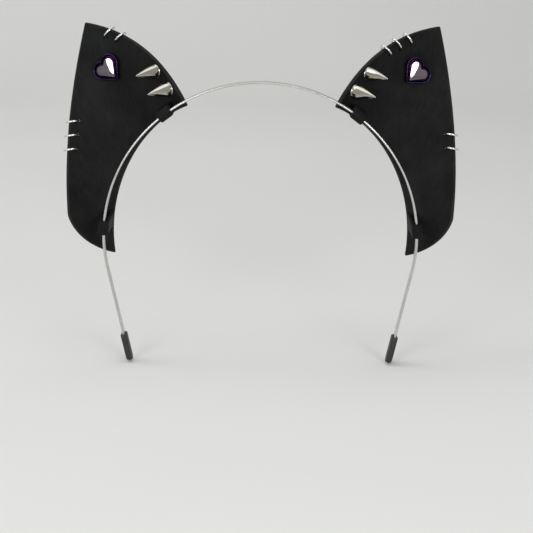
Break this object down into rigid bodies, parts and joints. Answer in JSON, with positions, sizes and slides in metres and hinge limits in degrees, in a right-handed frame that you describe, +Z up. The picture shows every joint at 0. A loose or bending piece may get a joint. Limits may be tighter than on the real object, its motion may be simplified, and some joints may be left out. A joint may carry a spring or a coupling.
{
  "type": "animal ears headband",
  "caption": "Thin sprung headband carrying cupped leather cat ears that slide along it, with wire rings through their edges, cone spikes and heart-shaped stones.",
  "frame": {"origin": "under the top of the band, on its inner face, where it rests on the wearer's head", "axes": "+Z up, the wearer faces -Y, +X to the wearer's left (to the right of someone facing them)"},
  "size_m": [0.2067, 0.0402, 0.1732],
  "materials": {
    "band_steel": "satin",
    "end_cap": "matt, soft dipped caps",
    "ear_leather": "dyed black, fine grain, burnished edge",
    "ring_wire": "polished wire",
    "spike_metal": "mirror polished",
    "screw_steel": "plain turned",
    "heart_metal": "dark violet metallic, glossy",
    "heart_glass": "polished, dark violet, foil backed"
  },
  "bodies": {
    "band": {"band": "band_steel", "end_cap_left": "end_cap", "end_cap_right": "end_cap"},
    "ear_left": {"ear_left": "ear_leather", "spike_left_upper": "spike_metal", "spike_left_lower": "spike_metal", "spike_screw_left_upper": "screw_steel", "spike_screw_left_lower": "screw_steel", "heart_setting_left": "heart_metal", "heart_stone_left": "heart_glass", "rivet_cap_left": "heart_metal"},
    "ear_right": {"ear_right": "ear_leather", "spike_right_upper": "spike_metal", "spike_right_lower": "spike_metal", "spike_screw_right_upper": "screw_steel", "spike_screw_right_lower": "screw_steel", "heart_setting_right": "heart_metal", "heart_stone_right": "heart_glass", "rivet_cap_right": "heart_metal"},
    "ring_left_top_1": {"ring_left_top_1": "ring_wire"},
    "ring_left_top_2": {"ring_left_top_2": "ring_wire"},
    "ring_left_side_1": {"ring_left_side_1": "ring_wire"},
    "ring_left_side_2": {"ring_left_side_2": "ring_wire"},
    "ring_left_side_3": {"ring_left_side_3": "ring_wire"},
    "ring_right_top_1": {"ring_right_top_1": "ring_wire"},
    "ring_right_top_2": {"ring_right_top_2": "ring_wire"},
    "ring_right_top_3": {"ring_right_top_3": "ring_wire"},
    "ring_right_side_1": {"ring_right_side_1": "ring_wire"},
    "ring_right_side_2": {"ring_right_side_2": "ring_wire"}
  },
  "joints": [
    {"name": "ear_left_slide", "type": "hinge", "parent": "band", "child": "ear_left", "pos_m": [0, 0, -0.08], "axis": [0, 1, 0], "range_deg": [-8, 20]},
    {"name": "ear_right_slide", "type": "hinge", "parent": "band", "child": "ear_right", "pos_m": [0, 0, -0.08], "axis": [0, -1, 0], "range_deg": [-8, 20]},
    {"name": "ring_left_top_1_turn", "type": "hinge", "parent": "ear_left", "child": "ring_left_top_1", "pos_m": [-0.07909, 0.03122, 0.02133], "axis": [-0.6627, 0.2562, 0.7037], "continuous": true},
    {"name": "ring_left_top_2_turn", "type": "hinge", "parent": "ear_left", "child": "ring_left_top_2", "pos_m": [-0.07311, 0.02893, 0.01915], "axis": [-0.597, 0.2751, 0.7536], "continuous": true},
    {"name": "ring_left_side_1_turn", "type": "hinge", "parent": "ear_left", "child": "ring_left_side_1", "pos_m": [-0.0987, 0.02563, -0.02442], "axis": [-0.1669, 0.1798, 0.9694], "continuous": true},
    {"name": "ring_left_side_2_turn", "type": "hinge", "parent": "ear_left", "child": "ring_left_side_2", "pos_m": [-0.09924, 0.02384, -0.03146], "axis": [-0.1871, 0.1789, 0.9659], "continuous": true},
    {"name": "ring_left_side_3_turn", "type": "hinge", "parent": "ear_left", "child": "ring_left_side_3", "pos_m": [-0.09962, 0.02196, -0.03849], "axis": [-0.2074, 0.1757, 0.9624], "continuous": true},
    {"name": "ring_right_top_1_turn", "type": "hinge", "parent": "ear_right", "child": "ring_right_top_1", "pos_m": [0.07467, 0.02958, 0.01977], "axis": [0.7532, 0.3268, 0.5709], "continuous": true},
    {"name": "ring_right_top_2_turn", "type": "hinge", "parent": "ear_right", "child": "ring_right_top_2", "pos_m": [0.0689, 0.02697, 0.01723], "axis": [0.6919, 0.3568, 0.6277], "continuous": true},
    {"name": "ring_right_top_3_turn", "type": "hinge", "parent": "ear_right", "child": "ring_right_top_3", "pos_m": [0.06343, 0.02399, 0.01421], "axis": [0.6316, 0.3725, 0.68], "continuous": true},
    {"name": "ring_right_side_1_turn", "type": "hinge", "parent": "ear_right", "child": "ring_right_side_1", "pos_m": [0.09906, 0.02452, -0.02882], "axis": [0.1796, 0.1795, 0.9672], "continuous": true},
    {"name": "ring_right_side_2_turn", "type": "hinge", "parent": "ear_right", "child": "ring_right_side_2", "pos_m": [0.0995, 0.02267, -0.03585], "axis": [0.1998, 0.1772, 0.9637], "continuous": true}
  ]
}
